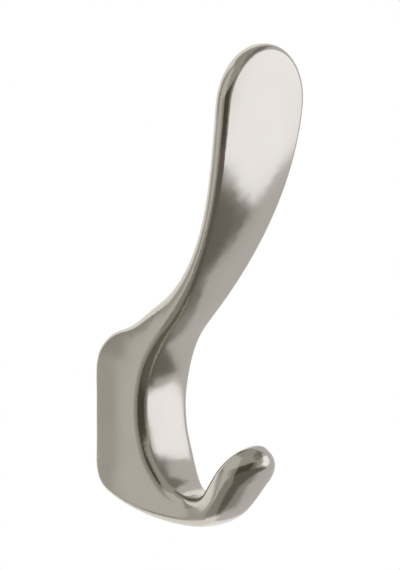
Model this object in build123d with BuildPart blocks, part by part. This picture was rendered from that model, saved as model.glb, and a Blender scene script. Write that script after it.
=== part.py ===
from build123d import *
from math import atan2, cos, degrees, radians, sin, tan
import os

os.makedirs("parts", exist_ok=True)

# A coat and hat hook cast in one piece, for fixing to a wall from behind.
# Millimetres and degrees. The wall is the plane Y = 0 and the hook stands out from it towards -Y.
# +Z is up, X = 0 is the middle of the width, and the origin lies midway between the fixing holes.

# Base
wall_height = 26.5
wall_width = 20.1
waist_depth = 15.9
waist_height = 2.7
shoulder_radius = 10.9
shoulder_slope = 14.0
heel_radius = 8.4
heel_slope = 34.0
base_edge_radius = 3.5
back_edge_radius = 0.8
back_grinding = 0.3

# Open C of the front, between the arm and the lower hook
c_radius = 32.8
c_rise = 42.9
c_fall = 36.8

# Arm and paddle
arm_radius = 103.7
arm_turn = 36.6
neck_width = 17.0
neck_thickness = 7.7
neck_flare = 17.8
neck_edge_radius = 3.2
paddle_width = 31.4
paddle_thickness = 4.4
paddle_edge_radius = 2.0

# Lower hook
valley_radius = 9.1
hook_rise = 47.0
hook_reach = 9.0
belly_width = 12.9
belly_thickness = 7.0
belly_edge_radius = 3.2
tip_width = 16.8
tip_thickness = 6.5
tip_inner_radius = 1.6
tip_outer_radius = 4.2

# Swell of the front and back faces, and of the two sides, over straight lines
front_swell = 0.8
back_swell = 0.8
wall_swell = 0.1
side_swell = 0.35

# Fixing holes, drilled and tapped from the wall side
hole_spacing = 16.0
thread_size = 4.0
thread_pitch = 0.7
hole_depth = 10.0
drill_point_angle = 118.0

# Ribs that the body is lofted through, in each zone from the paddle to the tip
arm_ribs = 15
shoulder_ribs = 7
wall_ribs = 5
heel_ribs = 7
hook_ribs = 6

# Directions along the front of the hook, from the paddle down to the tip of the lower hook
neck_heading = -90 - c_rise
paddle_heading = neck_heading + arm_turn
flared_heading = neck_heading - neck_flare
c_centre = Vector(waist_depth + c_radius, waist_height)
top_ray = degrees(atan2(wall_height / 2 - waist_height, c_centre.X))
bottom_ray = degrees(atan2(wall_height / 2 + waist_height, c_centre.X))

tap_radius = (thread_size - thread_pitch) / 2
point_depth = tap_radius / tan(radians(drill_point_angle / 2))


def toward(heading):
    """Unit vector in the side view, which has the wall on its left"""
    return Vector(cos(radians(heading)), sin(radians(heading)))


# Side view, with distance from the wall to the right and height upwards.
# Front and back each run from the paddle to the tip, every curve tangent to the one before it.
with BuildLine() as front_view:
    c_upper = CenterArc(c_centre, c_radius, 180 - c_rise, c_rise - top_ray)
    c_middle = CenterArc(c_centre, c_radius, 180 - top_ray, top_ray + bottom_ray)
    c_lower = CenterArc(c_centre, c_radius, 180 + bottom_ray, c_fall - bottom_ray)
    arm_centre = (c_upper @ 0) + toward(neck_heading - 90) * arm_radius
    arm_front = CenterArc(arm_centre, arm_radius, paddle_heading + 90, -arm_turn)
    valley_in = JernArc(c_lower @ 1, c_lower % 1, valley_radius, 90 - c_fall)
    valley_out = JernArc(valley_in @ 1, valley_in % 1, valley_radius, hook_rise)
    hook_front = Line(valley_out @ 1, (valley_out @ 1) + toward(hook_rise) * hook_reach)

paddle_back = (arm_front @ 0) + toward(paddle_heading - 90) * paddle_thickness
neck_back = (c_upper @ 0) + toward(neck_heading - 90) * neck_thickness
belly_back = (valley_out @ 0) + toward(-90) * belly_thickness
tip_back = (hook_front @ 1) + toward(hook_rise - 90) * tip_thickness

with BuildLine() as back_view:
    shoulder_arc = CenterArc(
        (shoulder_radius - back_grinding, wall_height / 2),
        shoulder_radius, 90 + shoulder_slope, 90 - shoulder_slope)
    heel_arc = CenterArc(
        (heel_radius - back_grinding, -wall_height / 2),
        heel_radius, 180, 90 - heel_slope)
    wall_line = Line(shoulder_arc @ 1, heel_arc @ 0)
    arm_back = Spline(
        paddle_back, neck_back,
        tangents=(toward(paddle_heading), toward(flared_heading)))
    shoulder_line = Spline(
        neck_back, shoulder_arc @ 0,
        tangents=(toward(flared_heading), shoulder_arc % 0))
    bottom_line = Spline(
        heel_arc @ 1, belly_back,
        tangents=(heel_arc % 1, toward(0)))
    hook_back = Spline(
        belly_back, tip_back,
        tangents=(toward(0), toward(hook_rise)))

# Width, front edge radius, back edge radius and swell of the back, where two zones meet
paddle_end = (paddle_width, paddle_edge_radius, paddle_edge_radius, back_swell)
neck = (neck_width, neck_edge_radius, neck_edge_radius, back_swell)
wall_end = (wall_width, base_edge_radius, back_edge_radius, wall_swell)
belly = (belly_width, belly_edge_radius, belly_edge_radius, back_swell)
tip_end = (tip_width, tip_inner_radius, tip_outer_radius, back_swell)

# Zones along the hook, each with its front, its back, its number of ribs and its two ends
zones = (
    (arm_front, arm_back, arm_ribs, paddle_end, neck),
    (c_upper, Wire([shoulder_line, shoulder_arc]), shoulder_ribs, neck, wall_end),
    (c_middle, wall_line, wall_ribs, wall_end, wall_end),
    (Wire([c_lower, valley_in]), Wire([heel_arc, bottom_line]), heel_ribs, wall_end, belly),
    (Wire([valley_out, hook_front]), hook_back, hook_ribs, belly, tip_end),
)

# Each rib runs from a point of the back to a point of the front, with widths eased between ends
ribs = []
for front, back, count, start, end in zones:
    for step in range(count):
        share = step / count
        ease = share * share * (3 - 2 * share)
        measures = [a + (b - a) * ease for a, b in zip(start, end)]
        ribs.append((front @ share, back @ share, *measures))
ribs.append((hook_front @ 1, tip_back, *tip_end))


def rib_plane(front, back):
    """Plane of a rib: X across the width, Y from the back to the front, Z along the hook"""
    outward = front.X - back.X
    upward = front.Y - back.Y
    return Plane(origin=(0, -back.X, back.Y), x_dir=(1, 0, 0), z_dir=(0, -upward, -outward))


def draw_rib(thickness, width, front_radius, back_radius, swell):
    """Outline of a rib in the sketch that is open: four swelled edges with rounded corners"""
    half = width / 2
    with BuildLine() as edges:
        ThreePointArc((-half, 0), (0, -swell), (half, 0))
        ThreePointArc((half, 0), (half + side_swell, thickness / 2), (half, thickness))
        ThreePointArc((half, thickness), (0, thickness + front_swell), (-half, thickness))
        ThreePointArc((-half, thickness), (-half - side_swell, thickness / 2), (-half, 0))
    outline = make_face(edges.edges())
    room = 0.94 * thickness
    front_round = min(front_radius, room / 2)
    back_round = min(back_radius, room - front_round)
    front_corners = outline.vertices().group_by(Axis.Y)[-1]
    rounded = fillet(front_corners, front_round)
    fillet(rounded.vertices().group_by(Axis.Y)[0], back_round)


# The coat hook
with BuildPart() as coat_hook:
    # Body, lofted from the paddle down the arm, over the base and out along the lower hook
    for front, back, *measures in ribs:
        with BuildSketch(rib_plane(front, back)):
            draw_rib((front - back).length, *measures)
    loft()

    # Round ends of the paddle and of the lower hook, half of the end rib turned about its middle
    for (front, back, *measures), side in ((ribs[0], 1), (ribs[-1], -1)):
        end_plane = rib_plane(front, back)
        with BuildSketch(end_plane):
            draw_rib((front - back).length, *measures)
            split(bisect_by=Plane.YZ)
        revolve(axis=Axis(end_plane.origin, end_plane.y_dir * side), revolution_arc=180)

    # Flat back, ground off at the wall
    split(bisect_by=Plane.XZ)

    # Blind holes for the fixing screws, at the tapping size
    for hole_height in (hole_spacing / 2, -hole_spacing / 2):
        with BuildSketch(Plane(origin=(0, 0, hole_height), x_dir=(1, 0, 0), z_dir=(0, 0, 1))):
            with BuildLine():
                Polyline(
                    (0, 0), (thread_size / 2, 0), (tap_radius, tap_radius - thread_size / 2),
                    (tap_radius, -hole_depth), (0, -hole_depth - point_depth), close=True)
            make_face()
        revolve(axis=Axis((0, 0, hole_height), (0, 1, 0)), mode=Mode.SUBTRACT)

coat_hook.part.label = "coat_hook"
export_step(coat_hook.part, "parts/coat_hook.step")
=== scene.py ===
from math import cos, pi, radians, sin

import bmesh
import bpy
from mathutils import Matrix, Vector


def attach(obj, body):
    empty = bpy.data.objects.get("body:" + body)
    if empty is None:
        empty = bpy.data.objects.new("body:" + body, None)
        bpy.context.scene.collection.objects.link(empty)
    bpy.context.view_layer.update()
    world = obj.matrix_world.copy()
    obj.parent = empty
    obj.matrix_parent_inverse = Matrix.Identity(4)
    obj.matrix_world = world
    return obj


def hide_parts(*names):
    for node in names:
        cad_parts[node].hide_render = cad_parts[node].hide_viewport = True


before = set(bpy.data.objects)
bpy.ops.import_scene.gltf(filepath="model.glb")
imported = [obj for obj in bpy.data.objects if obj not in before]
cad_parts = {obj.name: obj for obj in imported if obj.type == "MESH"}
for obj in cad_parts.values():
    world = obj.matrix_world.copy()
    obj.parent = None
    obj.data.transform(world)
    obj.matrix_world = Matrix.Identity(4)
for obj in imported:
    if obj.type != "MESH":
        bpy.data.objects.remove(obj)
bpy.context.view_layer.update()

# Hook casting: base, arm, paddle and lower hook in one zinc die casting.
# It is polished softly and plated in satin nickel, and screws from behind hold it to the wall.
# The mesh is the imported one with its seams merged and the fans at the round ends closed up.
merge_distance = 2e-6
most_faces_round_a_corner = 50
crease_angle = radians(35)
wall_facing = 0.9999

packed_hook = bpy.data.objects["coat_hook"]
casting = bmesh.new()
casting.from_mesh(packed_hook.data)
bmesh.ops.remove_doubles(casting, verts=casting.verts, dist=merge_distance)
bmesh.ops.dissolve_degenerate(casting, edges=casting.edges, dist=merge_distance)
fan_centres = [
    corner for corner in casting.verts if len(corner.link_faces) > most_faces_round_a_corner]
bmesh.ops.dissolve_verts(casting, verts=fan_centres)
casting.normal_update()
for face in casting.faces:
    face.smooth = True
for edge in casting.edges:
    faces_on_back = {face.normal.y > wall_facing for face in edge.link_faces}
    edge.smooth = edge.calc_face_angle(0) < crease_angle and len(faces_on_back) == 1
casting_mesh = bpy.data.meshes.new("hook_casting")
casting.to_mesh(casting_mesh)
casting.free()
hook_casting = bpy.data.objects.new("hook_casting", casting_mesh)
bpy.context.scene.collection.objects.link(hook_casting)
shading = hook_casting.modifiers.new("even_shading", "WEIGHTED_NORMAL")
shading.mode = "FACE_AREA_WITH_ANGLE"
shading.keep_sharp = True
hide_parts("coat_hook")
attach(hook_casting, "root")


class Field:
    """A socket of a material, so that shader maths reads as Python expressions"""

    def __init__(self, tree, socket):
        self.tree = tree
        self.socket = socket

    def node(self, kind, settings, *values, **named):
        """Add a node, make its settings, fill or link its sockets and give its first output"""
        node = self.tree.nodes.new(kind)
        for name, setting in settings.items():
            if name == "stops":
                for stop, (position, shade) in zip(node.color_ramp.elements, setting):
                    stop.position = position
                    stop.color = (*shade, 1)
            else:
                setattr(node, name, setting)
        sockets = list(zip(node.inputs, values))
        sockets += [(node.inputs[name.replace("_", " ")], value) for name, value in named.items()]
        for socket, value in sockets:
            if isinstance(value, Field):
                self.tree.links.new(value.socket, socket)
            else:
                socket.default_value = value
        return Field(self.tree, node.outputs[0])

    def math(self, operation, *values):
        """The result of a Math node on the values given"""
        return self.node("ShaderNodeMath", {"operation": operation}, *values)

    def parts(self):
        """The three parts of a vector"""
        split = self.tree.nodes.new("ShaderNodeSeparateXYZ")
        self.tree.links.new(self.socket, split.inputs[0])
        return [Field(self.tree, part) for part in split.outputs]

    def stretched(self, *scales):
        """A vector scaled by its own amount in each direction"""
        return self.node("ShaderNodeVectorMath", {"operation": "MULTIPLY"}, self, scales)

    def __add__(self, other):
        return self.math("ADD", self, other)

    def __radd__(self, other):
        return self.math("ADD", other, self)

    def __sub__(self, other):
        return self.math("SUBTRACT", self, other)

    def __rsub__(self, other):
        return self.math("SUBTRACT", other, self)

    def __mul__(self, other):
        return self.math("MULTIPLY", self, other)

    def __rmul__(self, other):
        return self.math("MULTIPLY", other, self)


# The plate varies a little in tint and gloss, in soft patches and in a fine grain
deep_nickel = (0.611, 0.573, 0.501)
pale_nickel = (0.641, 0.603, 0.527)
nickel = bpy.data.materials.new("satin_nickel")
nickel.use_nodes = True
nickel_tree = nickel.node_tree
plate = nickel_tree.nodes["Principled BSDF"]
plate.inputs["Metallic"].default_value = 1.0
coordinates = nickel_tree.nodes.new("ShaderNodeTexCoord")
place = Field(nickel_tree, coordinates.outputs["Object"])
bloom = place.node("ShaderNodeTexNoise", {}, Vector=place, Scale=70.0, Detail=3.0)
grain = place.node("ShaderNodeTexNoise", {}, Vector=place, Scale=1800.0, Detail=2.0)
tint = place.node(
    "ShaderNodeValToRGB", {"stops": ((0.3, deep_nickel), (0.7, pale_nickel))}, bloom)
nickel_tree.links.new(tint.socket, plate.inputs["Base Color"])

# The back is left as ground, with straight marks across it, and the bores are threaded M4 x 0.7.
# The thread's radius and depth go just past the walls of the bores.
hole_height = 0.008
thread_radius = 0.0018
thread_pitch = 0.0007
ground_skin = 0.0002
hole_depth = 0.0101
across, wallward, upward = place.parts()
hole_rise = upward - upward.math("SIGN", upward) * hole_height
from_axis = place.math("SQRT", across * across + hole_rise * hole_rise)
ground = wallward.math("GREATER_THAN", wallward, -ground_skin)
tapped = wallward.math("GREATER_THAN", wallward, -hole_depth) - ground
bored = from_axis.math("LESS_THAN", from_axis, thread_radius) * tapped
marks = place.node("ShaderNodeTexNoise", {}, Vector=place.stretched(60, 0, 4000), Scale=1.0)
turns_round = place.math("ARCTAN2", hole_rise, across) * (1 / (2 * pi))
thread = place.math("PINGPONG", turns_round + wallward * (1 / thread_pitch), 0.5)

plate_dullness = 0.12 + bloom * 0.05 + grain * 0.02
ground_dullness = ground * (0.12 + marks * 0.15)
nickel_tree.links.new((plate_dullness + ground_dullness).socket, plate.inputs["Roughness"])
fine = place.node("ShaderNodeBump", {}, Strength=0.02, Distance=0.0001, Height=grain)
scored = place.node(
    "ShaderNodeBump", {}, Strength=0.3, Distance=0.00002, Height=marks * ground, Normal=fine)
ridged = place.node(
    "ShaderNodeBump", {}, Strength=1.0, Distance=0.0004, Height=thread * bored, Normal=scored)
nickel_tree.links.new(ridged.socket, plate.inputs["Normal"])
casting_mesh.materials.clear()
casting_mesh.materials.append(nickel)

# Studio: a pale floor well below the hook, which hangs in the air as it would on a wall.
# Floor and sky both show as white behind the hook and in its plate, and light it less than that.
floor_level = -1.5
floor_mesh = bpy.data.meshes.new("studio_floor")
floor_shape = bmesh.new()
bmesh.ops.create_grid(floor_shape, size=4.0)
bmesh.ops.translate(floor_shape, verts=floor_shape.verts, vec=(0, 0, floor_level))
floor_shape.to_mesh(floor_mesh)
floor_shape.free()
floor = bpy.data.objects.new("studio_floor", floor_mesh)
bpy.context.scene.collection.objects.link(floor)


def background_share(tree):
    """1 for rays that show the background, which are camera, glossy and transmission rays"""
    path = tree.nodes.new("ShaderNodeLightPath")
    shown = Field(tree, path.outputs["Is Camera Ray"])
    for kind in ("Is Glossy Ray", "Is Transmission Ray"):
        shown = shown.math("MAXIMUM", shown, Field(tree, path.outputs[kind]))
    return shown


sky_light = 0.5
world = bpy.data.worlds.new("studio")
world.use_nodes = True
bpy.context.scene.world = world
sky = world.node_tree.nodes["Background"]
sky.inputs["Color"].default_value = (1, 1, 1, 1)
sky_strength = sky_light + background_share(world.node_tree) * (1 - sky_light)
world.node_tree.links.new(sky_strength.socket, sky.inputs["Strength"])

pale = bpy.data.materials.new("pale_floor")
pale.use_nodes = True
pale_tree = pale.node_tree
matt = pale_tree.nodes["Principled BSDF"]
matt.inputs["Base Color"].default_value = (0.9, 0.9, 0.9, 1)
matt.inputs["Roughness"].default_value = 0.9
glow = pale_tree.nodes.new("ShaderNodeEmission")
glow.inputs["Strength"].default_value = 1.035
most_glow = 0.94
blend = pale_tree.nodes.new("ShaderNodeMixShader")
glow_share = background_share(pale_tree) * most_glow
pale_tree.links.new(glow_share.socket, blend.inputs["Fac"])
pale_tree.links.new(matt.outputs[0], blend.inputs[1])
pale_tree.links.new(glow.outputs[0], blend.inputs[2])
pale_tree.links.new(blend.outputs[0], pale_tree.nodes["Material Output"].inputs["Surface"])
floor_mesh.materials.append(pale)

# Panels: curved sheets of even brightness that hang round the hook, out of the camera's sight.
# The plate mirrors them, so each sets how light the faces are that are turned to it.
# Turns go to the right of the camera, seen from the hook, and rises go up, both in degrees.
middle = Vector((0, -0.03, 0.03))
toward_camera = Vector((-0.7457, -0.6629, 0)).normalized()
camera_right = Vector((-toward_camera.y, toward_camera.x, 0))
panel_steps = 12


def studio_place(turn, rise, distance):
    """Point at a distance from the hook, turned right of the camera and raised"""
    level = cos(radians(rise)) * distance
    ahead = toward_camera * cos(radians(turn)) + camera_right * sin(radians(turn))
    return middle + ahead * level + Vector((0, 0, sin(radians(rise)) * distance))


def hang_panel(name, turns, rises, distance, colour):
    """Panel between two turns and two rises, swept from one corner up and then round"""
    panel_shape = bmesh.new()
    corner = bmesh.ops.create_vert(panel_shape, co=studio_place(turns[0], rises[0], distance))
    tilt_axis = toward_camera * sin(radians(turns[0])) - camera_right * cos(radians(turns[0]))
    bmesh.ops.spin(
        panel_shape, geom=corner["vert"], cent=middle, axis=tilt_axis,
        angle=radians(rises[1] - rises[0]), steps=panel_steps)
    bmesh.ops.spin(
        panel_shape, geom=panel_shape.verts[:] + panel_shape.edges[:], cent=middle,
        axis=(0, 0, 1), angle=radians(turns[1] - turns[0]), steps=panel_steps)
    panel_mesh = bpy.data.meshes.new(name)
    panel_shape.to_mesh(panel_mesh)
    panel_shape.free()
    paint = bpy.data.materials.new(name)
    paint.use_nodes = True
    paint.node_tree.nodes.clear()
    glow = paint.node_tree.nodes.new("ShaderNodeEmission")
    glow.inputs["Color"].default_value = (*colour, 1)
    output = paint.node_tree.nodes.new("ShaderNodeOutputMaterial")
    paint.node_tree.links.new(glow.outputs[0], output.inputs["Surface"])
    panel_mesh.materials.append(paint)
    panel = bpy.data.objects.new(name, panel_mesh)
    panel.visible_camera = False
    bpy.context.scene.collection.objects.link(panel)


hang_panel("dark_panel_front", (-18, 45), (-30, 16), 1.4, (0.09, 0.08, 0.065))
hang_panel("grey_panel_beside", (45, 62), (-30, 16), 1.4, (0.24, 0.23, 0.215))
hang_panel("pale_panel_beside", (62, 78), (-26, 18), 1.39, (0.43, 0.42, 0.405))
hang_panel("grey_panel_above", (-18, 55), (16, 60), 1.4, (0.43, 0.42, 0.4))
hang_panel("grey_panel_above_right", (55, 78), (18, 60), 1.4, (0.29, 0.28, 0.265))
hang_panel("dark_panel_low", (-18, 92), (-90, -22), 1.35, (0.16, 0.15, 0.135))
hang_panel("dark_panel_corner", (92, 110), (-90, -26.5), 1.35, (0.19, 0.18, 0.165))
hang_panel("grey_panel_right", (78, 163), (-60, 60), 1.45, (0.625, 0.62, 0.635))
hang_panel("grey_panel_low_right", (106, 121), (-90, -46), 1.4, (0.25, 0.24, 0.225))
hang_panel("grey_panel_low_back", (121, 137), (-90, -46), 1.4, (0.33, 0.32, 0.31))
hang_panel("grey_panel_high_right", (78, 125), (38, 60), 1.4, (0.24, 0.23, 0.22))
hang_panel("grey_panel_shoulder", (78, 98), (24, 38), 1.4, (0.26, 0.25, 0.24))
hang_panel("grey_panel_left", (-98, -85), (-60, 60), 1.4, (0.47, 0.47, 0.455))
hang_panel("grey_panel_left_high", (-98, -81), (0.5, 60), 1.38, (0.37, 0.36, 0.345))
hang_panel("pale_panel_left", (-85, -18), (-30, 60), 1.4, (0.65, 0.65, 0.64))
hang_panel("grey_panel_near", (-38, -18), (-30, 12), 1.38, (0.35, 0.34, 0.325))
hang_panel("pale_panel_near", (-56, -38), (-30, 12), 1.38, (0.49, 0.485, 0.475))
hang_panel("grey_panel_low_left", (-85, -18), (-90, -30), 1.4, (0.33, 0.32, 0.305))
hang_panel("grey_panel_top", (-180, 180), (60, 90), 1.5, (0.42, 0.41, 0.4))

# Softbox: the main light, close on the right, which whitens the paddle and the front of the base.
# It is rolled a little, and its lower corner ends the light on the paddle in a point.


def hang_softbox(name, turn, rise, roll, distance, width, height, radiance, tint):
    """Rectangular softbox that faces the hook, with the brightness that the plate mirrors"""
    lamp = bpy.data.lights.new(name, "AREA")
    lamp.shape = "RECTANGLE"
    lamp.size = width
    lamp.size_y = height
    lamp.energy = radiance * pi * width * height
    lamp.color = tint
    box = bpy.data.objects.new(name, lamp)
    box.location = studio_place(turn, rise, distance)
    box.rotation_euler = (middle - box.location).to_track_quat("-Z", "Y").to_euler()
    box.rotation_euler.rotate_axis("Z", radians(roll))
    box.visible_camera = False
    bpy.context.scene.collection.objects.link(box)


hang_softbox("softbox_right", 98, 0, -14, 0.44, 0.23, 0.36, 0.69, (0.965, 1, 1.145))

# Camera: to the left of the hook and a little above it, at the distance of a product shot.
# It aims near the middle of the hook, and its image is upright.
camera = bpy.data.objects.new("camera", bpy.data.cameras.new("camera"))
bpy.context.scene.collection.objects.link(camera)
bpy.context.scene.camera = camera
camera.data.sensor_fit = "VERTICAL"
camera.data.sensor_height = 36.0
camera.data.lens = 207.5
camera.location = (-0.6541, -0.6103, 0.0885)
aim = Vector((0.0174, -0.0132, 0.0349))
camera.rotation_euler = (aim - camera.location).to_track_quat("-Z", "Y").to_euler()

bpy.context.scene.view_settings.view_transform = "Standard"
